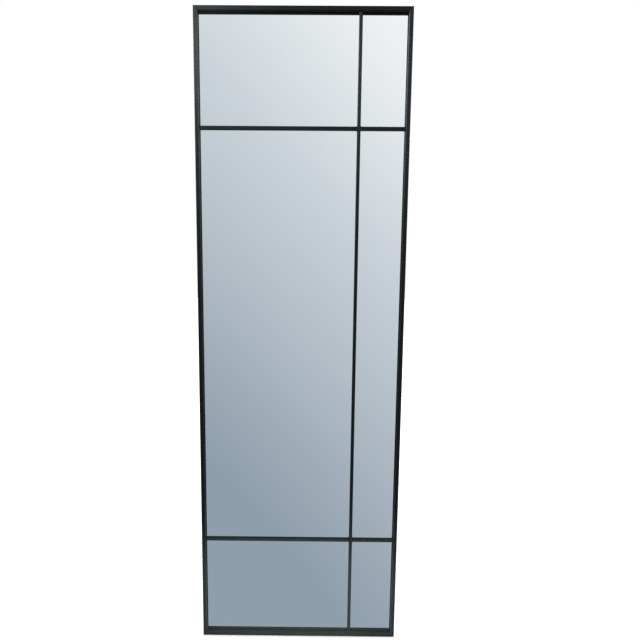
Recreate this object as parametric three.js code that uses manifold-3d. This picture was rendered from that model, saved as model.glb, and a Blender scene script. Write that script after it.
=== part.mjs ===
// A leaning floor mirror in a black steel frame with a window-style lattice in front of the glass.
//
// Millimetres, +Z up, front towards -Y. The origin is on the floor under the middle of the mirror's
// bounding box. The mirror stands upright here; in a room it leans back until its bumpers meet a wall.
//
// The frame is four mitred lengths of rectangular steel tube. Five flat bars are welded into it, set back
// from its front. The glass is laid in from behind against the bars, then a foam liner and a backing
// board, and screwed offset clips press the stack forwards.

import * as THREE from "three";
import { mergeVertices } from "three/addons/utils/BufferGeometryUtils.js";
import Module from "manifold-3d";

// ---------------------------------------------------------------- driving dimensions

// Frame of rectangular tube: the narrow side faces forwards.
const FRAME_WIDTH = 580;
const FRAME_HEIGHT = 1790;
const FRAME_FACE = 11;
const FRAME_DEPTH = 30;
const TUBE_WALL = 1.2;
const TUBE_CORNER_RADIUS = 1;

// Lattice of flat bars in front of the glass.
const BAR_FACE = 9;
const BAR_DEPTH = 5;
const BAR_SETBACK = 6;
const BAR_EDGE_RADIUS = 0.8;
const VERTICAL_BAR_FROM_RIGHT = 137;
const UPPER_BAR_FROM_TOP = 305;
const LOWER_BAR_FROM_BOTTOM = 305;

// Glass, liner and board, from front to back, with the gap that each leaves to the frame all round.
const GLASS_THICKNESS = 4;
const GLASS_CLEARANCE = 1.5;
const GLASS_ARRIS = 0.5;
const LINER_THICKNESS = 1;
const BOARD_THICKNESS = 5;
const BOARD_CLEARANCE = 0.5;

// Rubber blocks under the glass, in its bottom gap.
const SETTING_BLOCK_LENGTH = 40;
const SETTING_BLOCK_FROM_SIDE = 110;

// Offset clips: a bent steel strip from the back of the tube down onto the board.
const CLIPS_PER_STILE = 4;
const CLIPS_PER_RAIL = 2;
const CLIP_WIDTH = 18;
const CLIP_THICKNESS = 1.5;
const CLIP_REACH = 15;
const CLIP_BEND_RADIUS = 0.8;
const CLIP_CORNER_RADIUS = 3;
const CLIP_EDGE_MARGIN = 0.5;
const CLIP_TUBE_GAP = 0.3;

// Self-tapping pan-head screws for the clips and the hanger plates.
const SCREW_DIAMETER = 3.5;
const SCREW_LENGTH = 9;
const SCREW_POINT = 2.5;
const SCREW_HEAD_DIAMETER = 7;
const SCREW_HEAD_HEIGHT = 2.2;
const SCREW_HEAD_RIM = 0.7;
const RECESS_LENGTH = 3.8;
const RECESS_WIDTH = 0.9;
const RECESS_DEPTH = 1.2;
const PILOT_CLEARANCE = 0.1;
const SCREW_HOLE_CLEARANCE = 0.3;

// Hanger plates: gussets with a keyhole across the back of the two top corners.
const HANGER_LEG = 62;
const HANGER_TIP = 12;
const HANGER_THICKNESS = 2;
const HANGER_CORNER_RADIUS = 3;
const HANGER_SCREW_FROM_CORNER = 48;
const KEYHOLE_FROM_CORNER = 25;
const KEYHOLE_DIAMETER = 9;
const KEYHOLE_SLOT_WIDTH = 4.5;
const KEYHOLE_TRAVEL = 9;

// Rubber bumpers on the back, which meet the wall, and pads under the frame, which meet the floor.
const BUMPER_DIAMETER = 8;
const BUMPER_HEIGHT = 5;
const BUMPER_TOP_DIAMETER = 5;
const BUMPER_FROM_END = 100;
const FOOT_PAD_LENGTH = 70;
const FOOT_PAD_DEPTH = 24;
const FOOT_PAD_THICKNESS = 2;
const FOOT_PAD_FROM_SIDE = 20;
const FOOT_PAD_CORNER_RADIUS = 6;

// Facets of round shapes.
const EDGE_SEGMENTS = 4;
const ROUND_SEGMENTS = 16;
const DOME_STEPS = 3;

// ---------------------------------------------------------------- planes and places worked out from them

const FRONT_Y = -(FRAME_DEPTH + BUMPER_HEIGHT) / 2;
const BACK_Y = FRONT_Y + FRAME_DEPTH;
const BAR_FRONT_Y = FRONT_Y + BAR_SETBACK;
const GLASS_FRONT_Y = BAR_FRONT_Y + BAR_DEPTH;
const LINER_FRONT_Y = GLASS_FRONT_Y + GLASS_THICKNESS;
const BOARD_FRONT_Y = LINER_FRONT_Y + LINER_THICKNESS;
const BOARD_BACK_Y = BOARD_FRONT_Y + BOARD_THICKNESS;

const BOTTOM_Z = FOOT_PAD_THICKNESS;
const TOP_Z = BOTTOM_Z + FRAME_HEIGHT;
const MIDDLE_Z = (BOTTOM_Z + TOP_Z) / 2;
const OPENING_WIDTH = FRAME_WIDTH - 2 * FRAME_FACE;
const OPENING_HEIGHT = FRAME_HEIGHT - 2 * FRAME_FACE;

const VERTICAL_BAR_X = FRAME_WIDTH / 2 - VERTICAL_BAR_FROM_RIGHT;
const UPPER_BAR_Z = TOP_Z - UPPER_BAR_FROM_TOP;
const LOWER_BAR_Z = BOTTOM_Z + LOWER_BAR_FROM_BOTTOM;

// ---------------------------------------------------------------- finishes

const POWDER_COAT = { color: 0x2a2c2e, roughness: 0.45, metalness: 0.25 };
const SILVERED_GLASS = { color: 0xc4d0d8, roughness: 0.03, metalness: 1 };
const FOAM = { color: 0x242526, roughness: 0.95, metalness: 0 };
const FIBREBOARD = { color: 0x8c6d4c, roughness: 0.85, metalness: 0 };
const ZINC = { color: 0xb9bcc0, roughness: 0.35, metalness: 0.9 };
const RUBBER = { color: 0x1b1b1c, roughness: 0.8, metalness: 0 };

// ---------------------------------------------------------------- helpers

const wasm = await Module();
wasm.setup();

// Vertices closer than this are one vertex.
const MERGE_DISTANCE = 1e-4;

// A closed geometry as a solid that can be cut.
function solidFrom(geometry) {
  const bare = geometry.clone();
  bare.deleteAttribute("normal");
  bare.deleteAttribute("uv");
  const merged = mergeVertices(bare, MERGE_DISTANCE);
  const mesh = new wasm.Mesh({
    numProp: 3,
    vertProperties: merged.attributes.position.array,
    triVerts: new Uint32Array(merged.index.array),
  });
  return new wasm.Manifold(mesh);
}

// A cut solid as a geometry again.
function geometryFrom(solid) {
  const mesh = solid.getMesh();
  const geometry = new THREE.BufferGeometry();
  geometry.setAttribute("position", new THREE.BufferAttribute(mesh.vertProperties, 3));
  geometry.setIndex(new THREE.BufferAttribute(mesh.triVerts, 1));
  const flat = geometry.toNonIndexed();
  flat.computeVertexNormals();
  return flat;
}

// A geometry with some others cut out of it.
function cut(geometry, cutters) {
  let solid = solidFrom(geometry);
  for (const cutter of cutters) {
    solid = solid.subtract(solidFrom(cutter));
  }
  return geometryFrom(solid);
}

// Adds one named piece, with a material of its own, to a group.
function addPiece(group, name, geometry, finish, x, y, z) {
  const mesh = new THREE.Mesh(geometry, new THREE.MeshStandardMaterial(finish));
  mesh.name = name;
  mesh.position.set(x, y, z);
  group.add(mesh);
  return mesh;
}

// Draws a rectangle with rounded corners, from its low corner, on a shape or on the path of a hole.
function drawRoundedRectangle(path, x, y, width, height, radius) {
  const right = x + width;
  const top = y + height;
  path.moveTo(x + radius, y);
  path.lineTo(right - radius, y);
  path.absarc(right - radius, y + radius, radius, -Math.PI / 2, 0, false);
  path.lineTo(right, top - radius);
  path.absarc(right - radius, top - radius, radius, 0, Math.PI / 2, false);
  path.lineTo(x + radius, top);
  path.absarc(x + radius, top - radius, radius, Math.PI / 2, Math.PI, false);
  path.lineTo(x, y + radius);
  path.absarc(x + radius, y + radius, radius, Math.PI, 1.5 * Math.PI, false);
  return path;
}

// An outline with each corner rounded: corners are [x, y, radius], in order round the shape.
function roundedOutline(corners) {
  const shape = new THREE.Shape();
  corners.forEach(([x, y, radius], i) => {
    const corner = new THREE.Vector2(x, y);
    const before = corners[(i + corners.length - 1) % corners.length];
    const after = corners[(i + 1) % corners.length];
    const back = new THREE.Vector2(before[0], before[1]).sub(corner).normalize();
    const ahead = new THREE.Vector2(after[0], after[1]).sub(corner).normalize();
    const halfAngle = Math.acos(back.dot(ahead)) / 2;
    const tangent = radius / Math.tan(halfAngle);
    const start = corner.clone().addScaledVector(back, tangent);
    const end = corner.clone().addScaledVector(ahead, tangent);
    if (i === 0) {
      shape.moveTo(start.x, start.y);
    } else {
      shape.lineTo(start.x, start.y);
    }
    if (radius > 0) {
      const inward = back.clone().add(ahead).normalize();
      const centre = corner.clone().addScaledVector(inward, radius / Math.sin(halfAngle));
      const from = start.clone().sub(centre).angle();
      const to = end.clone().sub(centre).angle();
      const clockwise = back.cross(ahead) > 0;
      shape.absarc(centre.x, centre.y, radius, from, to, clockwise);
    }
  });
  shape.closePath();
  return shape;
}

function extrude(shape, depth, curveSegments) {
  return new THREE.ExtrudeGeometry(shape, { depth, curveSegments, bevelEnabled: false });
}

// Turns an extrusion so that its outline lies in Y and Z and its length runs along X.
const ALONG_X = new THREE.Matrix4().makeBasis(
  new THREE.Vector3(0, 1, 0),
  new THREE.Vector3(0, 0, 1),
  new THREE.Vector3(1, 0, 0),
);

// A round cutter along Y, centred on a point.
function drill(radius, length, x, y, z) {
  return new THREE.CylinderGeometry(radius, radius, length, ROUND_SEGMENTS).translate(x, y, z);
}

// The places of a number of clips spread evenly along a side, from its middle.
function clipPlaces(length, count) {
  const spacing = length / count;
  return Array.from({ length: count }, (_, i) => (i - (count - 1) / 2) * spacing);
}

// ---------------------------------------------------------------- frame

// One side of the frame, along X and centred on it. Its outer face is at Z = 0 and its inner face at
// Z = FRAME_FACE. Each end is cut at 45 degrees, so the tube is shorter the further in it is measured.
function mitredTube(length, holePlaces) {
  const section = new THREE.Shape();
  drawRoundedRectangle(section, FRONT_Y, 0, FRAME_DEPTH, FRAME_FACE, TUBE_CORNER_RADIUS);
  const bore = new THREE.Path();
  const boreRadius = Math.max(TUBE_CORNER_RADIUS - TUBE_WALL, TUBE_CORNER_RADIUS / 4);
  const boreDepth = FRAME_DEPTH - 2 * TUBE_WALL;
  const boreFace = FRAME_FACE - 2 * TUBE_WALL;
  drawRoundedRectangle(bore, FRONT_Y + TUBE_WALL, TUBE_WALL, boreDepth, boreFace, boreRadius);
  section.holes.push(bore);

  const tube = extrude(section, length, EDGE_SEGMENTS);
  const position = tube.attributes.position;
  for (let i = 0; i < position.count; i += 1) {
    const inward = position.getY(i);
    const along = position.getZ(i);
    const mitred = along < length / 2 ? inward - length / 2 : length / 2 - inward;
    position.setZ(i, mitred);
  }
  tube.applyMatrix4(ALONG_X);

  const pilotRadius = SCREW_DIAMETER / 2 + PILOT_CLEARANCE;
  const pilots = holePlaces.map((place) =>
    drill(pilotRadius, 2 * TUBE_WALL, place, BACK_Y, FRAME_FACE / 2),
  );
  return cut(tube, pilots);
}

// ---------------------------------------------------------------- lattice bars

// A flat bar along X, centred on it, with its two front edges rounded and its back flat on the glass.
function flatBar(length) {
  const back = BAR_FRONT_Y + BAR_DEPTH;
  const section = roundedOutline([
    [BAR_FRONT_Y, -BAR_FACE / 2, BAR_EDGE_RADIUS],
    [back, -BAR_FACE / 2, 0],
    [back, BAR_FACE / 2, 0],
    [BAR_FRONT_Y, BAR_FACE / 2, BAR_EDGE_RADIUS],
  ]);
  return extrude(section, length, EDGE_SEGMENTS).translate(0, 0, -length / 2).applyMatrix4(ALONG_X);
}

// ---------------------------------------------------------------- glass and backing

// A sheet in X and Z, centred on them, with its front at Y = 0 and its edges bevelled.
function sheet(width, height, thickness, arris) {
  const outline = new THREE.Shape();
  outline.moveTo(-width / 2, -height / 2);
  outline.lineTo(width / 2, -height / 2);
  outline.lineTo(width / 2, height / 2);
  outline.lineTo(-width / 2, height / 2);
  const options = {
    depth: thickness - 2 * arris,
    bevelEnabled: arris > 0,
    bevelThickness: arris,
    bevelSize: arris,
    bevelOffset: -arris,
    bevelSegments: 1,
  };
  const slab = new THREE.ExtrudeGeometry(outline, options);
  return slab.rotateX(Math.PI / 2).translate(0, thickness - arris, 0);
}

// ---------------------------------------------------------------- fixings

// A pan-head screw along Y, pointing forwards, with the underside of its head at Y = 0.
function panHeadScrew() {
  const shank = SCREW_DIAMETER / 2;
  const head = SCREW_HEAD_DIAMETER / 2;
  const dome = SCREW_HEAD_HEIGHT - SCREW_HEAD_RIM;
  const profile = [
    new THREE.Vector2(0, -SCREW_LENGTH),
    new THREE.Vector2(shank, SCREW_POINT - SCREW_LENGTH),
    new THREE.Vector2(shank, 0),
    new THREE.Vector2(head, 0),
  ];
  for (let step = 0; step < DOME_STEPS; step += 1) {
    const angle = (step / DOME_STEPS) * (Math.PI / 2);
    profile.push(
      new THREE.Vector2(head * Math.cos(angle), SCREW_HEAD_RIM + dome * Math.sin(angle)),
    );
  }
  profile.push(new THREE.Vector2(0, SCREW_HEAD_HEIGHT));
  const screw = new THREE.LatheGeometry(profile, ROUND_SEGMENTS);
  const slotHeight = 2 * RECESS_DEPTH;
  const slots = [
    new THREE.BoxGeometry(RECESS_LENGTH, slotHeight, RECESS_WIDTH).translate(0, SCREW_HEAD_HEIGHT, 0),
    new THREE.BoxGeometry(RECESS_WIDTH, slotHeight, RECESS_LENGTH).translate(0, SCREW_HEAD_HEIGHT, 0),
  ];
  return cut(screw, slots);
}

// An offset clip in the frame of mitredTube, centred on X = 0: a flange on the back of the tube, a web
// beside its inner face, and a foot on the board.
function offsetClip() {
  const flangeBack = BACK_Y + CLIP_THICKNESS;
  const webOuter = FRAME_FACE + CLIP_TUBE_GAP;
  const webInner = webOuter + CLIP_THICKNESS;
  const footEnd = webInner + CLIP_REACH;
  const footBack = BOARD_BACK_Y + CLIP_THICKNESS;
  const outside = CLIP_BEND_RADIUS + CLIP_THICKNESS;
  const strip = roundedOutline([
    [BACK_Y, CLIP_EDGE_MARGIN, 0],
    [flangeBack, CLIP_EDGE_MARGIN, 0],
    [flangeBack, webInner, outside],
    [footBack, webInner, CLIP_BEND_RADIUS],
    [footBack, footEnd, 0],
    [BOARD_BACK_Y, footEnd, 0],
    [BOARD_BACK_Y, webOuter, outside],
    [BACK_Y, webOuter, CLIP_TUBE_GAP],
  ]);
  const bent = extrude(strip, CLIP_WIDTH, EDGE_SEGMENTS);
  bent.translate(0, 0, -CLIP_WIDTH / 2).applyMatrix4(ALONG_X);

  const plan = new THREE.Shape();
  const planLength = footEnd - CLIP_EDGE_MARGIN;
  drawRoundedRectangle(
    plan, -CLIP_WIDTH / 2, CLIP_EDGE_MARGIN, CLIP_WIDTH, planLength, CLIP_CORNER_RADIUS,
  );
  const planDepth = flangeBack - BOARD_BACK_Y;
  const punch = extrude(plan, 2 * planDepth, EDGE_SEGMENTS);
  punch.rotateX(Math.PI / 2).translate(0, flangeBack + planDepth / 2, 0);

  const hole = drill(SCREW_DIAMETER / 2 + SCREW_HOLE_CLEARANCE, FRAME_FACE, 0, BACK_Y, FRAME_FACE / 2);
  const solid = solidFrom(bent).intersect(solidFrom(punch)).subtract(solidFrom(hole));
  return geometryFrom(solid);
}

// A gusset plate across the back of the top left corner, drawn from that corner, with its front at Y = 0.
function hangerPlate() {
  const radius = HANGER_CORNER_RADIUS;
  const outline = roundedOutline([
    [0, 0, radius],
    [0, -HANGER_LEG, radius],
    [HANGER_TIP, -HANGER_LEG, radius],
    [HANGER_LEG, -HANGER_TIP, radius],
    [HANGER_LEG, 0, radius],
  ]);

  const keyhole = new THREE.Path();
  const keyX = KEYHOLE_FROM_CORNER;
  const keyZ = -KEYHOLE_FROM_CORNER;
  const slotTop = keyZ + KEYHOLE_TRAVEL;
  const slotRadius = KEYHOLE_SLOT_WIDTH / 2;
  const mouth = Math.asin(slotRadius / (KEYHOLE_DIAMETER / 2));
  const quarter = Math.PI / 2;
  keyhole.absarc(keyX, keyZ, KEYHOLE_DIAMETER / 2, quarter + mouth, 5 * quarter - mouth, false);
  keyhole.lineTo(keyX + slotRadius, slotTop);
  keyhole.absarc(keyX, slotTop, slotRadius, 0, Math.PI, false);
  keyhole.closePath();
  outline.holes.push(keyhole);

  const screwRadius = SCREW_DIAMETER / 2 + SCREW_HOLE_CLEARANCE;
  for (const [across, down] of HANGER_SCREWS) {
    const hole = new THREE.Path();
    hole.absarc(across, -down, screwRadius, 0, 2 * Math.PI, false);
    outline.holes.push(hole);
  }
  const plate = extrude(outline, HANGER_THICKNESS, ROUND_SEGMENTS / 2);
  return plate.rotateX(Math.PI / 2).translate(0, HANGER_THICKNESS, 0);
}

// The hanger plate's screws, as distances across and down from the outer corner of the frame.
const HANGER_SCREWS = [
  [HANGER_SCREW_FROM_CORNER, FRAME_FACE / 2],
  [FRAME_FACE / 2, HANGER_SCREW_FROM_CORNER],
];

// A rubber bumper along Y: a low drum with a domed shoulder and a flat end.
function bumper() {
  const base = BUMPER_DIAMETER / 2;
  const top = BUMPER_TOP_DIAMETER / 2;
  const shoulder = base - top;
  const profile = [new THREE.Vector2(0, 0), new THREE.Vector2(base, 0)];
  for (let step = 0; step <= DOME_STEPS; step += 1) {
    const angle = (step / DOME_STEPS) * (Math.PI / 2);
    const radius = top + shoulder * Math.cos(angle);
    profile.push(new THREE.Vector2(radius, BUMPER_HEIGHT - shoulder * (1 - Math.sin(angle))));
  }
  profile.push(new THREE.Vector2(0, BUMPER_HEIGHT));
  return new THREE.LatheGeometry(profile, ROUND_SEGMENTS);
}

// A flat rubber pad with round corners, with its underside at Z = 0.
function footPad() {
  const outline = new THREE.Shape();
  const x = -FOOT_PAD_LENGTH / 2;
  const y = -FOOT_PAD_DEPTH / 2;
  drawRoundedRectangle(outline, x, y, FOOT_PAD_LENGTH, FOOT_PAD_DEPTH, FOOT_PAD_CORNER_RADIUS);
  return extrude(outline, FOOT_PAD_THICKNESS, EDGE_SEGMENTS);
}

// ---------------------------------------------------------------- assembly

const mirror = new THREE.Group();

// The four sides, each in a group turned about Y, so that X runs along the side and Z points inwards.
// hangerHoles are the ends, as signs along X, that carry a hanger plate's screw.
const QUARTER_TURN = Math.PI / 2;
const SIDES = [
  {
    rail: "bottom_rail", clips: CLIPS_PER_RAIL, length: FRAME_WIDTH,
    x: 0, z: BOTTOM_Z, turn: 0, hangerHoles: [],
  },
  {
    rail: "right_stile", clips: CLIPS_PER_STILE, length: FRAME_HEIGHT,
    x: FRAME_WIDTH / 2, z: MIDDLE_Z, turn: -QUARTER_TURN, hangerHoles: [1],
  },
  {
    rail: "top_rail", clips: CLIPS_PER_RAIL, length: FRAME_WIDTH,
    x: 0, z: TOP_Z, turn: 2 * QUARTER_TURN, hangerHoles: [-1, 1],
  },
  {
    rail: "left_stile", clips: CLIPS_PER_STILE, length: FRAME_HEIGHT,
    x: -FRAME_WIDTH / 2, z: MIDDLE_Z, turn: QUARTER_TURN, hangerHoles: [-1],
  },
];

for (const side of SIDES) {
  const group = new THREE.Group();
  group.position.set(side.x, 0, side.z);
  group.rotation.y = side.turn;
  mirror.add(group);

  const places = clipPlaces(side.length, side.clips);
  const hangerPlaces = side.hangerHoles.map((end) => end * (side.length / 2 - HANGER_SCREW_FROM_CORNER));
  const tube = mitredTube(side.length, [...places, ...hangerPlaces]);
  addPiece(group, side.rail, tube, POWDER_COAT, 0, 0, 0);

  places.forEach((place, i) => {
    const name = side.rail + "_clip_" + (i + 1);
    addPiece(group, name, offsetClip(), ZINC, place, 0, 0);
    addPiece(
      group, name + "_screw", panHeadScrew(), ZINC, place, BACK_Y + CLIP_THICKNESS, FRAME_FACE / 2,
    );
  });
}

// Lattice: one bar from bottom rail to top rail, and two pairs that meet its sides and the stiles.
const verticalBar = addPiece(
  mirror, "vertical_bar", flatBar(OPENING_HEIGHT), POWDER_COAT, VERTICAL_BAR_X, 0, MIDDLE_Z,
);
verticalBar.rotation.y = -QUARTER_TURN;

const LEFT_SPAN = [-OPENING_WIDTH / 2, VERTICAL_BAR_X - BAR_FACE / 2];
const RIGHT_SPAN = [VERTICAL_BAR_X + BAR_FACE / 2, OPENING_WIDTH / 2];
for (const [level, z] of [["upper", UPPER_BAR_Z], ["lower", LOWER_BAR_Z]]) {
  for (const [end, [from, to]] of [["left", LEFT_SPAN], ["right", RIGHT_SPAN]]) {
    addPiece(mirror, level + "_bar_" + end, flatBar(to - from), POWDER_COAT, (from + to) / 2, 0, z);
  }
}

// Glass, liner and board, one behind the other.
const glass = sheet(
  OPENING_WIDTH - 2 * GLASS_CLEARANCE, OPENING_HEIGHT - 2 * GLASS_CLEARANCE, GLASS_THICKNESS, GLASS_ARRIS,
);
addPiece(mirror, "mirror_glass", glass, SILVERED_GLASS, 0, GLASS_FRONT_Y, MIDDLE_Z);
const BOARD_WIDTH = OPENING_WIDTH - 2 * BOARD_CLEARANCE;
const BOARD_HEIGHT = OPENING_HEIGHT - 2 * BOARD_CLEARANCE;
const liner = sheet(BOARD_WIDTH, BOARD_HEIGHT, LINER_THICKNESS, 0);
addPiece(mirror, "foam_liner", liner, FOAM, 0, LINER_FRONT_Y, MIDDLE_Z);
const board = sheet(BOARD_WIDTH, BOARD_HEIGHT, BOARD_THICKNESS, 0);
addPiece(mirror, "backing_board", board, FIBREBOARD, 0, BOARD_FRONT_Y, MIDDLE_Z);

// Fixings and rubber parts, alike on the left and on the right.
for (const [end, sign] of [["left", -1], ["right", 1]]) {
  const inward = -sign;
  const cornerX = (sign * FRAME_WIDTH) / 2;

  const block = new THREE.BoxGeometry(SETTING_BLOCK_LENGTH, GLASS_THICKNESS, GLASS_CLEARANCE);
  addPiece(
    mirror, "setting_block_" + end, block, RUBBER,
    cornerX + inward * SETTING_BLOCK_FROM_SIDE,
    GLASS_FRONT_Y + GLASS_THICKNESS / 2,
    BOTTOM_Z + FRAME_FACE + GLASS_CLEARANCE / 2,
  );

  const plate = addPiece(mirror, "hanger_plate_" + end, hangerPlate(), ZINC, cornerX, BACK_Y, TOP_Z);
  plate.scale.x = inward;
  HANGER_SCREWS.forEach(([across, down], i) => {
    addPiece(
      mirror, "hanger_plate_" + end + "_screw_" + (i + 1), panHeadScrew(), ZINC,
      cornerX + inward * across, BACK_Y + HANGER_THICKNESS, TOP_Z - down,
    );
  });

  const bumperX = cornerX + (inward * FRAME_FACE) / 2;
  addPiece(mirror, "upper_bumper_" + end, bumper(), RUBBER, bumperX, BACK_Y, TOP_Z - BUMPER_FROM_END);
  addPiece(mirror, "lower_bumper_" + end, bumper(), RUBBER, bumperX, BACK_Y, BOTTOM_Z + BUMPER_FROM_END);

  const padX = cornerX + inward * (FOOT_PAD_FROM_SIDE + FOOT_PAD_LENGTH / 2);
  addPiece(mirror, "foot_pad_" + end, footPad(), RUBBER, padX, FRONT_Y + FRAME_DEPTH / 2, 0);
}

export default mirror;
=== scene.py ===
"""The looks of a leaning floor mirror in a black steel frame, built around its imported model.

Everything is in metres in the model's own frame: +Z up, the front towards -Y, the floor at Z = 0.
The CAD nodes keep their shapes and get procedural materials. Screws and bumpers are replaced by finer
meshes of the same size, and the small welds of the frame and the lattice are added.
"""

import math
from typing import NamedTuple

import bmesh
import bpy
from mathutils import Matrix, Vector


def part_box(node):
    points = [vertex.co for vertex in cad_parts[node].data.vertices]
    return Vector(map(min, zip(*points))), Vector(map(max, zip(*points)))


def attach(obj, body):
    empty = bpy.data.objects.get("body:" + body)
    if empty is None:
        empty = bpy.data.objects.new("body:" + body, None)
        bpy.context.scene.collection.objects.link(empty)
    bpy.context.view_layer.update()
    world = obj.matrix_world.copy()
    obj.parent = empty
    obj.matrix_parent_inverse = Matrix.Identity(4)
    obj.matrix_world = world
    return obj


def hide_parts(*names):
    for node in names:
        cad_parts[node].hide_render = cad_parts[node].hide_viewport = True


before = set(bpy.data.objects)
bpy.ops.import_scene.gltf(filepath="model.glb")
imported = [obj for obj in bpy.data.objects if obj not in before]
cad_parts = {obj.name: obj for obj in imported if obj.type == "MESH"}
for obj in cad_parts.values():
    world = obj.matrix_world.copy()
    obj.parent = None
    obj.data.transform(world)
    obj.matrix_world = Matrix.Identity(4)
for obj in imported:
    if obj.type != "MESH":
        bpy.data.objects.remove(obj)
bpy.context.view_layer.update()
BODY = "root"

# ---------------------------------------------------------------- camera

# The photograph is a square, this many pixels wide, and the lens's axis meets it at LENS_AXIS_PIXEL.
PHOTO_SIDE = 640
LENS_AXIS_PIXEL = (302, 330)
FOCAL_LENGTH_PIXELS = 420
SENSOR_WIDTH_MM = 36
CAMERA_PLACE = Vector((0.0076, -1.1962, 1.0580))
CAMERA_YAW = math.radians(-0.214)
CAMERA_PITCH = math.radians(-5.795)
CAMERA_ROLL = math.radians(0.447)


def make_camera():
    """The camera at the photograph's place: yaw turns it to the right, pitch up, and roll leans it left."""
    data = bpy.data.cameras.new("camera")
    data.sensor_width = SENSOR_WIDTH_MM
    data.lens = FOCAL_LENGTH_PIXELS / PHOTO_SIDE * SENSOR_WIDTH_MM
    data.shift_x = (PHOTO_SIDE / 2 - LENS_AXIS_PIXEL[0]) / PHOTO_SIDE
    data.shift_y = (LENS_AXIS_PIXEL[1] - PHOTO_SIDE / 2) / PHOTO_SIDE
    camera = bpy.data.objects.new("camera", data)
    bpy.context.scene.collection.objects.link(camera)
    camera.matrix_world = (
        Matrix.Translation(CAMERA_PLACE)
        @ Matrix.Rotation(-CAMERA_YAW, 4, "Z")
        @ Matrix.Rotation(math.pi / 2 + CAMERA_PITCH, 4, "X")
        @ Matrix.Rotation(CAMERA_ROLL, 4, "Z")
    )
    bpy.context.scene.camera = camera


# ---------------------------------------------------------------- studio

# The studio's light as the mirror shows it: it grows from a cool dim grey at the lower left to near
# white at the upper right. Stops are (place along STUDIO_AXIS from -1 to 1, colour).
STUDIO_AXIS = (0.67, 0.0, 0.743)
STUDIO_STOPS = [
    (-1.0, (0.301, 0.374, 0.443)),
    (-0.425, (0.301, 0.374, 0.443)),
    (0.18, (0.651, 0.699, 0.752)),
    (0.33, (0.785, 0.825, 0.843)),
    (0.48, (0.955, 0.965, 0.970)),
    (1.0, (1.0, 1.0, 1.0)),
]
BACKGROUND_WHITE = (1.0, 1.0, 1.0, 1.0)

FLOOR_HALF_SIDE = 40.0
FLOOR_COLOUR = (0.93, 0.93, 0.93, 1.0)
FLOOR_ROUGHNESS = 0.9
FLOOR_GLOW = 0.2

TOP_LIGHT_STRENGTH = 2.2
TOP_LIGHT_ANGLE = math.radians(120)
TOP_LIGHT_PLACE = Vector((0, 0, 3))
TOP_LIGHT_TARGET = Vector((0, 0, 0))

# Colours of the soft lamps.
WARM = (1.0, 0.90, 0.88)
COOL = (0.90, 0.97, 1.0)
BLUISH = (0.75, 0.97, 1.0)
GREENISH = (0.93, 1.0, 0.94)
CYAN = (0.65, 1.0, 1.0)

# Where the side lamps stand. Each lights the stile on the far side, across the glass.
HIGH_ON_LEFT = Vector((-0.75, -0.12, 1.72))
HIGH_ON_RIGHT = Vector((0.75, -0.12, 1.72))
LOW_ON_LEFT = Vector((-0.75, -0.12, 0.12))
LOW_ON_RIGHT = Vector((0.75, -0.12, 0.12))

# Groups of painted pieces. A lamp that names one lights nothing else.
LEFT_SIDE = ("left_stile",)
RIGHT_SIDE = ("right_stile", "vertical_bar")
BOTTOM_SIDE = ("bottom_rail",)
CROSS_BARS = ("upper_bar_left", "upper_bar_right", "lower_bar_left", "lower_bar_right")


class SoftLamp(NamedTuple):
    """A soft oval lamp, with its power in watts, and its width and height as size.

    It lights the pieces that lights names, or every painted piece where that is empty.
    """

    name: str
    power: float
    place: Vector
    target: Vector
    size: tuple = (0.12, 0.12)
    beam_degrees: float = 150
    colour: tuple = COOL
    lights: tuple = ()


CORNER_LAMPS = [
    SoftLamp(
        "corner_light",
        power=5.2,
        place=Vector((-0.33, -0.24, 1.70)),
        target=Vector((-0.29, 0, 1.68)),
        size=(0.1, 0.1),
        colour=WARM,
    ),
    SoftLamp(
        "corner_fill",
        power=7.5,
        place=Vector((-0.40, -0.5, 1.75)),
        target=Vector((-0.27, 0, 1.6)),
        size=(0.15, 0.15),
        colour=BLUISH,
    ),
]
SIDE_LAMPS = [
    SoftLamp(
        "upper_left_light",
        power=19.5,
        place=HIGH_ON_LEFT,
        target=Vector((0.28, -0.012, 1.66)),
        beam_degrees=45,
        lights=RIGHT_SIDE,
    ),
    SoftLamp(
        "upper_left_fill",
        power=34.0,
        place=HIGH_ON_LEFT,
        target=Vector((0.28, -0.012, 1.5)),
        beam_degrees=110,
        lights=RIGHT_SIDE,
    ),
    SoftLamp(
        "upper_right_light",
        power=9.0,
        place=HIGH_ON_RIGHT,
        target=Vector((-0.28, -0.012, 1.63)),
        beam_degrees=45,
        lights=LEFT_SIDE,
    ),
    SoftLamp(
        "upper_right_fill",
        power=26.0,
        place=HIGH_ON_RIGHT,
        target=Vector((-0.28, -0.012, 1.5)),
        beam_degrees=110,
        lights=LEFT_SIDE,
    ),
    SoftLamp(
        "lower_left_light",
        power=9.0,
        place=LOW_ON_LEFT,
        target=Vector((0.28, -0.012, 0.12)),
        beam_degrees=50,
        lights=RIGHT_SIDE,
    ),
    SoftLamp(
        "lower_right_light",
        power=8.0,
        place=LOW_ON_RIGHT,
        target=Vector((-0.28, -0.012, 0.12)),
        beam_degrees=50,
        lights=LEFT_SIDE,
    ),
]
LOW_LAMPS = [
    SoftLamp(
        "low_light",
        power=10.5,
        place=Vector((0, -0.25, 0.16)),
        target=Vector((0, 0, 0.06)),
        size=(0.7, 0.05),
        colour=GREENISH,
    ),
    SoftLamp(
        "rail_light",
        power=4.3,
        place=Vector((-0.02, -0.12, 0.24)),
        target=Vector((0, 0, 0.02)),
        size=(0.95, 0.05),
        lights=BOTTOM_SIDE,
    ),
    SoftLamp(
        "bar_light",
        power=40.0,
        place=Vector((-0.15, -0.9, 0.5)),
        target=Vector((-0.05, 0, 0.4)),
        size=(0.3, 0.3),
        beam_degrees=170,
        colour=CYAN,
        lights=CROSS_BARS,
    ),
]


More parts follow.
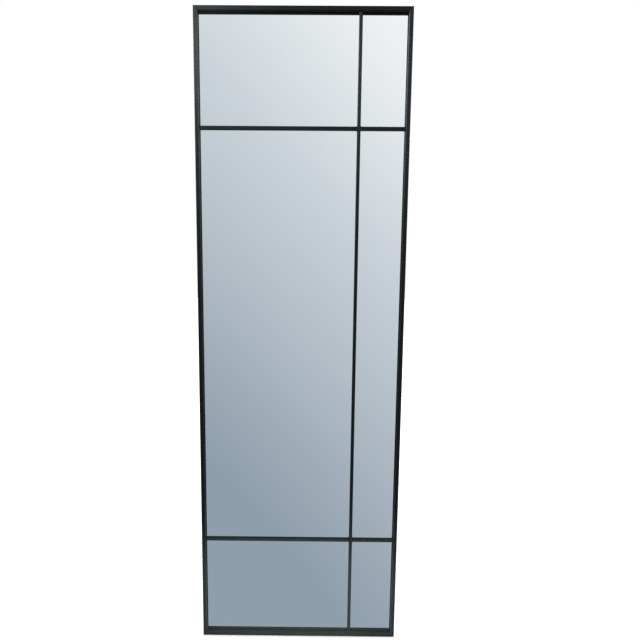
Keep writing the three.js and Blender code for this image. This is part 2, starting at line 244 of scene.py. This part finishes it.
def make_world():
    """A sky without edges: plain white where the camera looks at it, a soft gradient as light."""
    world = bpy.data.worlds.new("studio")
    bpy.context.scene.world = world
    world.use_nodes = True
    nodes, links = world.node_tree.nodes, world.node_tree.links
    nodes.clear()
    direction = nodes.new("ShaderNodeTexCoord")
    along = nodes.new("ShaderNodeVectorMath")
    along.operation = "DOT_PRODUCT"
    along.inputs[1].default_value = STUDIO_AXIS
    place = nodes.new("ShaderNodeMapRange")
    place.inputs["From Min"].default_value = -1.0
    place.inputs["From Max"].default_value = 1.0
    ramp = nodes.new("ShaderNodeValToRGB")
    fill_ramp(ramp, [((at + 1) / 2, colour) for at, colour in STUDIO_STOPS])
    light = nodes.new("ShaderNodeBackground")
    white = nodes.new("ShaderNodeBackground")
    white.inputs["Color"].default_value = BACKGROUND_WHITE
    seen = nodes.new("ShaderNodeLightPath")
    choice = nodes.new("ShaderNodeMixShader")
    out = nodes.new("ShaderNodeOutputWorld")
    links.new(direction.outputs["Generated"], along.inputs[0])
    links.new(along.outputs["Value"], place.inputs["Value"])
    links.new(place.outputs["Result"], ramp.inputs["Fac"])
    links.new(ramp.outputs["Color"], light.inputs["Color"])
    links.new(seen.outputs["Is Camera Ray"], choice.inputs["Fac"])
    links.new(light.outputs["Background"], choice.inputs[1])
    links.new(white.outputs["Background"], choice.inputs[2])
    links.new(choice.outputs["Shader"], out.inputs["Surface"])


def fill_ramp(ramp, stops):
    """Gives a colour ramp its stops, as (place from 0 to 1, colour)."""
    elements = ramp.color_ramp.elements
    while len(elements) > 1:
        elements.remove(elements[-1])
    elements[0].position = stops[0][0]
    elements[0].color = (*stops[0][1], 1.0)
    for at, colour in stops[1:]:
        elements.new(at).color = (*colour, 1.0)


def make_light(name, kind, power, place, target):
    """A lamp at a place that points at a target. It leaves no glint and has no image in the mirror."""
    data = bpy.data.lights.new(name, kind)
    data.energy = power
    light = bpy.data.objects.new(name, data)
    bpy.context.scene.collection.objects.link(light)
    light.location = place
    light.rotation_euler = (target - place).to_track_quat("-Z", "Y").to_euler()
    light.visible_glossy = False
    return light


def make_top_light():
    """A broad light from above, for everything."""
    light = make_light("top_light", "SUN", TOP_LIGHT_STRENGTH, TOP_LIGHT_PLACE, TOP_LIGHT_TARGET)
    light.data.angle = TOP_LIGHT_ANGLE


def make_soft_lamp(lamp, painted):
    """One soft lamp, linked to the painted pieces that it lights."""
    light = make_light(lamp.name, "AREA", lamp.power, lamp.place, lamp.target)
    light.data.shape = "ELLIPSE"
    light.data.size, light.data.size_y = lamp.size
    light.data.spread = math.radians(lamp.beam_degrees)
    light.data.color = lamp.colour
    light.visible_camera = False
    lit = bpy.data.collections.new(lamp.name + "_lights")
    for name in lamp.lights or painted:
        lit.objects.link(painted[name])
    light.light_linking.receiver_collection = lit


def make_floor():
    """A plain pale floor. It has no image in the mirror, which shows the studio's gradient alone."""
    half = FLOOR_HALF_SIDE
    corners = [(-half, -half, 0), (half, -half, 0), (half, half, 0), (-half, half, 0)]
    mesh = bpy.data.meshes.new("floor")
    mesh.from_pydata(corners, [], [(0, 1, 2, 3)])
    floor = bpy.data.objects.new("floor", mesh)
    bpy.context.scene.collection.objects.link(floor)
    floor.visible_glossy = False
    material, shader = new_material("floor_paint")
    shader.inputs["Base Color"].default_value = FLOOR_COLOUR
    shader.inputs["Roughness"].default_value = FLOOR_ROUGHNESS
    shader.inputs["Emission Color"].default_value = FLOOR_COLOUR
    shader.inputs["Emission Strength"].default_value = FLOOR_GLOW
    mesh.materials.append(material)


# ---------------------------------------------------------------- materials

# Shades of each finish, as (value of its texture, colour).
PAINT_SHADES = [(0.3, (0.0024, 0.0028, 0.0029)), (0.7, (0.0036, 0.0040, 0.0041))]
FOAM_SHADES = [(0.3, (0.009, 0.009, 0.010)), (0.7, (0.020, 0.020, 0.022))]
ZINC_SHADES = [(0.0, (0.50, 0.52, 0.54)), (1.0, (0.66, 0.68, 0.70))]
RUBBER_SHADES = [(0.3, (0.010, 0.010, 0.010)), (0.7, (0.022, 0.022, 0.023))]
FIBRE_SHADES = [
    (0.28, (0.115, 0.066, 0.035)),
    (0.45, (0.215, 0.135, 0.076)),
    (0.60, (0.270, 0.175, 0.102)),
    (0.75, (0.390, 0.275, 0.170)),
]
GLASS_TINT = (0.90, 0.915, 0.92, 1.0)

# The scale of each axis under a texture. A small one draws the texture out along its axis, as a grain.
GRAIN_ALONG_Z = (1.0, 1.0, 0.06)
FIBRES_ALONG_Z = (1.0, 1.0, 0.35)
NO_GRAIN = (1.0, 1.0, 1.0)


def new_material(name):
    """A material and its shader, with every socket at its default."""
    material = bpy.data.materials.new(name)
    material.use_nodes = True
    return material, material.node_tree.nodes["Principled BSDF"]


class Surface:
    """Adds textures to a material, all of them measured in metres on the part itself."""

    def __init__(self, material, shader):
        self.nodes = material.node_tree.nodes
        self.links = material.node_tree.links
        self.shader = shader
        self.place = self.nodes.new("ShaderNodeTexCoord").outputs["Object"]

    def stretched(self, scale):
        """The place on the part, with each axis scaled, for grain that runs one way."""
        mapping = self.nodes.new("ShaderNodeMapping")
        mapping.inputs["Scale"].default_value = scale
        self.links.new(self.place, mapping.inputs["Vector"])
        return mapping.outputs["Vector"]

    def noise(self, size, detail=2.0, roughness=0.5, place=None):
        """Noise, mostly from 0.3 to 0.7, whose blots are about size metres wide."""
        node = self.nodes.new("ShaderNodeTexNoise")
        node.inputs["Scale"].default_value = 1 / size
        node.inputs["Detail"].default_value = detail
        node.inputs["Roughness"].default_value = roughness
        self.links.new(place or self.place, node.inputs["Vector"])
        return node.outputs["Fac"]

    def crystals(self, size):
        """A different shade from 0 to 1 for each cell about size metres wide."""
        cells = self.nodes.new("ShaderNodeTexVoronoi")
        cells.inputs["Scale"].default_value = 1 / size
        self.links.new(self.place, cells.inputs["Vector"])
        shade = self.nodes.new("ShaderNodeSeparateColor")
        self.links.new(cells.outputs["Color"], shade.inputs["Color"])
        return shade.outputs["Red"]

    def ranged(self, value, low, high, start=0.3, end=0.7):
        """A value that goes from low to high as another goes from start to end."""
        node = self.nodes.new("ShaderNodeMapRange")
        node.inputs["From Min"].default_value = start
        node.inputs["From Max"].default_value = end
        node.inputs["To Min"].default_value = low
        node.inputs["To Max"].default_value = high
        self.links.new(value, node.inputs["Value"])
        return node.outputs["Result"]

    def colour_from(self, value, shades):
        """Colours the surface by a value, in the given shades."""
        ramp = self.nodes.new("ShaderNodeValToRGB")
        fill_ramp(ramp, shades)
        self.links.new(value, ramp.inputs["Fac"])
        self.links.new(ramp.outputs["Color"], self.shader.inputs["Base Color"])

    def roughness_from(self, value):
        """Makes the surface as rough as a value."""
        self.links.new(value, self.shader.inputs["Roughness"])

    def bump(self, height, depth, below=None):
        """Raises the surface by depth metres where height is 1. Bumps chain through below."""
        node = self.nodes.new("ShaderNodeBump")
        node.inputs["Distance"].default_value = depth
        self.links.new(height, node.inputs["Height"])
        if below:
            self.links.new(below, node.inputs["Normal"])
        self.links.new(node.outputs["Normal"], self.shader.inputs["Normal"])
        return node.outputs["Normal"]


def powder_coat(name):
    """Black powder coat: satin, with a fine orange peel and slightly uneven shade and sheen."""
    material, shader = new_material(name)
    shader.inputs["Specular IOR Level"].default_value = 0.1
    surface = Surface(material, shader)
    surface.colour_from(surface.noise(size=0.09, detail=8.0, roughness=0.72), PAINT_SHADES)
    surface.roughness_from(surface.ranged(surface.noise(size=0.03, detail=3.0), low=0.42, high=0.56))
    peel = surface.bump(surface.noise(size=0.0016, detail=1.0), depth=0.00001)
    surface.bump(surface.noise(size=0.0004), depth=0.0000015, below=peel)
    return material


def silvered_glass():
    """Mirror glass: a clean silver image with a faint cool tint and a trace of float-glass waviness."""
    material, shader = new_material("silvered_glass_finish")
    shader.inputs["Base Color"].default_value = GLASS_TINT
    shader.inputs["Metallic"].default_value = 1.0
    surface = Surface(material, shader)
    haze = surface.noise(size=0.12, detail=4.0)
    surface.roughness_from(surface.ranged(haze, low=0.0, high=0.03, start=0.45, end=0.8))
    surface.bump(surface.noise(size=0.35, detail=0.0), depth=0.00004)
    return material


def closed_cell_foam():
    """Matt charcoal foam with fine cells."""
    material, shader = new_material("closed_cell_foam")
    shader.inputs["Roughness"].default_value = 0.95
    surface = Surface(material, shader)
    cells = surface.noise(size=0.0011)
    surface.colour_from(cells, FOAM_SHADES)
    surface.bump(cells, depth=0.00025)
    return material


def fibreboard():
    """Pressed brown fibreboard: mottled, with short fibres and a slightly rough face."""
    material, shader = new_material("pressed_fibreboard")
    shader.inputs["Specular IOR Level"].default_value = 0.3
    surface = Surface(material, shader)
    along_fibres = surface.stretched(FIBRES_ALONG_Z)
    fibres = surface.noise(size=0.0022, detail=6.0, roughness=0.7, place=along_fibres)
    surface.colour_from(fibres, FIBRE_SHADES)
    surface.roughness_from(surface.ranged(surface.noise(size=0.05, detail=3.0), low=0.72, high=0.9))
    surface.bump(fibres, depth=0.0003)
    return material


def zinc_plate(name, grain):
    """Bright zinc plating with faint crystals and fine scratches that follow a grain."""
    material, shader = new_material(name)
    shader.inputs["Metallic"].default_value = 1.0
    surface = Surface(material, shader)
    surface.colour_from(surface.crystals(size=0.0035), ZINC_SHADES)
    scratches = surface.noise(size=0.0006, detail=3.0, place=surface.stretched(grain))
    surface.roughness_from(surface.ranged(scratches, low=0.26, high=0.42))
    surface.bump(scratches, depth=0.00003)
    return material


def rubber(name):
    """Matt black moulded rubber."""
    material, shader = new_material(name)
    shader.inputs["Specular IOR Level"].default_value = 0.4
    surface = Surface(material, shader)
    bloom = surface.noise(size=0.006, detail=3.0)
    surface.colour_from(bloom, RUBBER_SHADES)
    surface.roughness_from(surface.ranged(bloom, low=0.66, high=0.84))
    surface.bump(surface.noise(size=0.0005), depth=0.00004)
    return material


# Which record slot gets which finish.
FINISHES = {
    "frame_powder_coat": powder_coat("frame_paint"),
    "lattice_powder_coat": powder_coat("lattice_paint"),
    "silvered_glass": silvered_glass(),
    "liner_foam": closed_cell_foam(),
    "backing_fibreboard": fibreboard(),
    "clip_zinc": zinc_plate("clip_plating", GRAIN_ALONG_Z),
    "screw_zinc": zinc_plate("screw_plating", NO_GRAIN),
    "hanger_zinc": zinc_plate("hanger_plating", GRAIN_ALONG_Z),
    "bumper_rubber": rubber("bumper_moulding"),
    "foot_rubber": rubber("foot_moulding"),
    "setting_rubber": rubber("setting_moulding"),
}
PAINTS = (FINISHES["frame_powder_coat"], FINISHES["lattice_powder_coat"])


def dress_nodes():
    """Gives every CAD node the finish of its slot."""
    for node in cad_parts.values():
        for slot in node.material_slots:
            slot.material = FINISHES[slot.material.name]


# ---------------------------------------------------------------- finer pieces

ROUND_STEPS = 40
DOME_STEPS = 10
SHARP_EDGE = math.radians(32)


def add_piece(name, mesh, slot, place=(0, 0, 0)):
    """Adds one piece, which rides on the part's only body and has the finish of a slot."""
    piece = bpy.data.objects.new(name, mesh)
    bpy.context.scene.collection.objects.link(piece)
    piece.location = place
    if not mesh.materials:
        mesh.materials.append(FINISHES[slot])
    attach(piece, BODY)
    return piece


def mesh_from(name, bm):
    """A mesh with soft shading on its curves and sharp edges elsewhere."""
    bmesh.ops.recalc_face_normals(bm, faces=bm.faces)
    mesh = bpy.data.meshes.new(name)
    bm.to_mesh(mesh)
    bm.free()
    mesh.shade_smooth()
    mesh.set_sharp_from_angle(angle=SHARP_EDGE)
    return mesh


def ring_about_y(bm, radius, y):
    """The vertices of a circle about Y, or one vertex where the radius is 0."""
    if radius == 0:
        return [bm.verts.new((0, y, 0))]
    turn = 2 * math.pi / ROUND_STEPS
    angles = [i * turn for i in range(ROUND_STEPS)]
    return [bm.verts.new((radius * math.cos(a), y, radius * math.sin(a))) for a in angles]


def revolved(profile):
    """A solid of revolution about Y from (radius, y) points that start and end on the axis."""
    bm = bmesh.new()
    rings = [ring_about_y(bm, radius, y) for radius, y in profile]
    for near, far in zip(rings, rings[1:]):
        for i in range(ROUND_STEPS):
            j = (i + 1) % ROUND_STEPS
            corners = [near[i % len(near)], near[j % len(near)], far[j % len(far)], far[i % len(far)]]
            # A ring on the axis is one vertex, which a face keeps once, so the faces there are triangles.
            bm.faces.new(list(dict.fromkeys(corners)))
    return bm


def dome(inner, outer, low, high):
    """Points of a quarter ellipse from (outer, low) to (inner, high), as (radius, y)."""
    quarter = math.pi / 2
    angles = [quarter * step / DOME_STEPS for step in range(DOME_STEPS + 1)]
    return [(inner + (outer - inner) * math.cos(a), low + (high - low) * math.sin(a)) for a in angles]


# ---------------------------------------------------------------- screws

# A screw's length is from the underside of its head to its point.
SCREW_LENGTH = 0.009
SCREW_POINT_LENGTH = 0.0025
SCREW_RADIUS = 0.00175
SCREW_HEAD_RADIUS = 0.0035
SCREW_HEAD_RIM = 0.0007
SCREW_HEAD_HEIGHT = 0.0022
SCREW_TURN = math.radians(67)

# The recess's half length and half width are those of its cutter's wide end, which is RECESS_DEPTH above
# the top of the head. The narrow end is RECESS_DEPTH below it and RECESS_TAPER times as long.
RECESS_HALF_LENGTH = 0.0026
RECESS_HALF_WIDTH = 0.00055
RECESS_DEPTH = 0.0013
RECESS_TAPER = 0.45
CUT_MERGE_DISTANCE = 0.000003


def cross_recess():
    """A cutter for a cross recess: two crossed wedges about the origin that narrow towards -Y."""
    bm = bmesh.new()
    for turn in (0, math.pi / 2):
        made = bmesh.ops.create_cube(bm, size=2.0)["verts"]
        for vert in made:
            taper = 1.0 if vert.co.y > 0 else RECESS_TAPER
            vert.co.x *= RECESS_HALF_LENGTH * taper
            vert.co.y *= RECESS_DEPTH
            vert.co.z *= RECESS_HALF_WIDTH * (taper + 1) / 2
        bmesh.ops.rotate(bm, verts=made, cent=(0, 0, 0), matrix=Matrix.Rotation(turn, 3, "Y"))
    return bm


def cut_out(bm, cutter, place):
    """A mesh with a cutter taken out of it, the cutter's origin at a place."""
    parts = []
    for name, part in (("body", bm), ("cutter", cutter)):
        mesh = bpy.data.meshes.new(name)
        part.to_mesh(mesh)
        part.free()
        parts.append(bpy.data.objects.new(name, mesh))
        bpy.context.scene.collection.objects.link(parts[-1])
    body, tool = parts
    tool.location = place
    modifier = body.modifiers.new("cut", "BOOLEAN")
    modifier.operation = "DIFFERENCE"
    modifier.solver = "EXACT"
    modifier.use_self = True
    modifier.object = tool
    graph = bpy.context.evaluated_depsgraph_get()
    result = bmesh.new()
    result.from_object(body, graph)
    bmesh.ops.remove_doubles(result, verts=result.verts, dist=CUT_MERGE_DISTANCE)
    for part in parts:
        bpy.data.meshes.remove(part.data)
    return result


def screw_mesh():
    """A pan-head screw that points along -Y, with the underside of its head at the origin.

    The dome gives up its last point for one exactly on the axis.
    """
    profile = [
        (0, -SCREW_LENGTH),
        (SCREW_RADIUS, SCREW_POINT_LENGTH - SCREW_LENGTH),
        (SCREW_RADIUS, 0),
        (SCREW_HEAD_RADIUS, 0),
        *dome(0, SCREW_HEAD_RADIUS, SCREW_HEAD_RIM, SCREW_HEAD_HEIGHT)[:-1],
        (0, SCREW_HEAD_HEIGHT),
    ]
    top_of_head = Vector((0, SCREW_HEAD_HEIGHT, 0))
    return mesh_from("screw", cut_out(revolved(profile), cross_recess(), top_of_head))


# ---------------------------------------------------------------- bumpers

BUMPER_HEIGHT = 0.005
BUMPER_COLLAR_RADIUS = 0.004
BUMPER_COLLAR_HEIGHT = 0.0006
BUMPER_DRUM_RADIUS = 0.0037
BUMPER_TOP_RADIUS = 0.0025


def bumper_mesh():
    """A rubber bumper along +Y from the origin: a thin collar, then a drum with a rounded end."""
    profile = [
        (0, 0),
        (BUMPER_COLLAR_RADIUS, 0),
        (BUMPER_COLLAR_RADIUS, BUMPER_COLLAR_HEIGHT),
        (BUMPER_DRUM_RADIUS, BUMPER_COLLAR_HEIGHT),
        *dome(BUMPER_TOP_RADIUS, BUMPER_DRUM_RADIUS, BUMPER_HEIGHT / 2, BUMPER_HEIGHT),
        (0, BUMPER_HEIGHT),
    ]
    return mesh_from("bumper", revolved(profile))


def replace_round_pieces():
    """Puts a finer screw or bumper in the place of each CAD one. Each screw stops at another turn."""
    screw = screw_mesh()
    bumper = bumper_mesh()
    for count, name in enumerate(sorted(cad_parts)):
        low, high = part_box(name)
        middle = (low + high) / 2
        if "_screw" in name:
            place = Vector((middle.x, low.y + SCREW_LENGTH, middle.z))
            piece = add_piece("fine_" + name, screw, "screw_zinc", place)
            piece.rotation_euler.y = count * SCREW_TURN
            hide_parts(name)
        elif "_bumper" in name:
            place = Vector((middle.x, low.y, middle.z))
            piece = add_piece("fine_" + name, bumper, "bumper_rubber", place)
            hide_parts(name)


# ---------------------------------------------------------------- welds

# A leg is how far a weld reaches along each side of its corner.
BAR_WELD_LEG = 0.0028
FACE_WELD_LEG = 0.0018
CORNER_WELD_LEG = 0.0022

# A bead is cut into steps along its length, and its open face into steps across.
WELD_STEPS = 22
WELD_ARC_STEPS = 5

# The ripple is a share of the leg. The hollow is how far the middle of the open face is drawn in towards
# the corner, as a share of where a flat face would be.
WELD_RIPPLE = 0.07
WELD_RIPPLE_PITCH = 0.0011
WELD_HOLLOW = 0.175

# A bead narrows from its middle to its ends, more sharply with a larger WELD_SWELL_POWER. Over the last
# WELD_BLUNT_END of its length, at either end, it narrows no further.
WELD_SWELL_POWER = 0.25
WELD_BLUNT_END = 0.04

X, Y, Z = Vector((1, 0, 0)), Vector((0, 1, 0)), Vector((0, 0, 1))


def bead_reach(along, length, leg):
    """How far a bead reaches from its corner, where along is 0 at its start and 1 at its end."""
    ripple = 1 + WELD_RIPPLE * math.cos(2 * math.pi * along * length / WELD_RIPPLE_PITCH)
    inside = min(max(along, WELD_BLUNT_END), 1 - WELD_BLUNT_END)
    swell = math.sin(math.pi * inside) ** WELD_SWELL_POWER
    return leg * ripple * swell


def bead(bm, start, end, side, other_side, leg):
    """A fillet weld along an inside corner from start to end, a leg wide on both of the corner's sides."""
    length = (end - start).length
    rings = []
    for i in range(WELD_STEPS + 1):
        along = i / WELD_STEPS
        reach = bead_reach(along, length, leg)
        corner = start.lerp(end, along)
        ring = [bm.verts.new(corner)]
        for j in range(WELD_ARC_STEPS + 1):
            across = j / WELD_ARC_STEPS
            hollow = 1 - WELD_HOLLOW * math.sin(math.pi * across)
            outwards = side * (1 - across) + other_side * across
            ring.append(bm.verts.new(corner + outwards * reach * hollow))
        rings.append(ring)
    for near, far in zip(rings, rings[1:]):
        for j in range(len(near)):
            k = (j + 1) % len(near)
            bm.faces.new((near[j], near[k], far[k], far[j]))
    bm.faces.new(list(reversed(rings[0])))
    bm.faces.new(rings[-1])


def add_weld(name, beads):
    """Adds one weld of one or more beads, each given as bead takes it."""
    bm = bmesh.new()
    for one in beads:
        bead(bm, *one)
    return add_piece("weld_" + name, mesh_from("weld_" + name, bm), "lattice_powder_coat")


def end_beads(near, far, inward, across, back):
    """Three beads round the end of a bar that meets a wall: along its two sides and along its front.

    The front edge runs from near to far, in the direction across.
    """
    return [
        (near, near + back, inward, -across, BAR_WELD_LEG),
        (far, far + back, inward, across, BAR_WELD_LEG),
        (near, far, inward, -Y, FACE_WELD_LEG),
    ]


def add_welds():
    """Fillet welds where the bars meet the frame and each other, and in the frame's four inner corners."""
    welds = []
    glass_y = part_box("mirror_glass")[0].y
    frame_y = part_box("left_stile")[0].y
    post_low, post_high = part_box("vertical_bar")
    back = Vector((0, glass_y - post_low.y, 0))
    side_walls = (("left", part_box("left_stile")[1].x, X), ("right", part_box("right_stile")[0].x, -X))
    end_walls = (("bottom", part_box("bottom_rail")[1].z, Z), ("top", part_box("top_rail")[0].z, -Z))

    for level in ("upper", "lower"):
        low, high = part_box(level + "_bar_left")
        for side, wall_x, inward in side_walls:
            under = Vector((wall_x, low.y, low.z))
            over = Vector((wall_x, low.y, high.z))
            welds.append(add_weld(f"{level}_{side}", end_beads(under, over, inward, Z, back)))
        beads = []
        for x, away in ((post_low.x, -X), (post_high.x, X)):
            for z, up in ((low.z, -Z), (high.z, Z)):
                corner = Vector((x, low.y, z))
                beads.append((corner, corner + back, away, up, BAR_WELD_LEG))
        welds.append(add_weld(f"{level}_crossing", beads))

    for end, wall_z, inward in end_walls:
        left = Vector((post_low.x, post_low.y, wall_z))
        right = Vector((post_high.x, post_low.y, wall_z))
        welds.append(add_weld(f"post_{end}", end_beads(left, right, inward, X, back)))
        for side, wall_x, across in side_walls:
            front = Vector((wall_x, frame_y + CORNER_WELD_LEG / 2, wall_z))
            rear = Vector((wall_x, glass_y, wall_z))
            welds.append(add_weld(f"corner_{end}_{side}", [(front, rear, across, inward, CORNER_WELD_LEG)]))
    return welds


# ---------------------------------------------------------------- the scene


def painted_pieces(welds):
    """Every piece of painted steel by its name: the frame, the lattice and the welds."""
    painted = {}
    for name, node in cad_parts.items():
        if node.material_slots[0].material in PAINTS:
            painted[name] = node
    for weld in welds:
        painted[weld.name] = weld
    return painted


make_camera()
make_world()
make_floor()
dress_nodes()
replace_round_pieces()
painted = painted_pieces(add_welds())
make_top_light()
for lamp in CORNER_LAMPS + SIDE_LAMPS + LOW_LAMPS:
    make_soft_lamp(lamp, painted)
bpy.context.scene.view_settings.view_transform = "Standard"
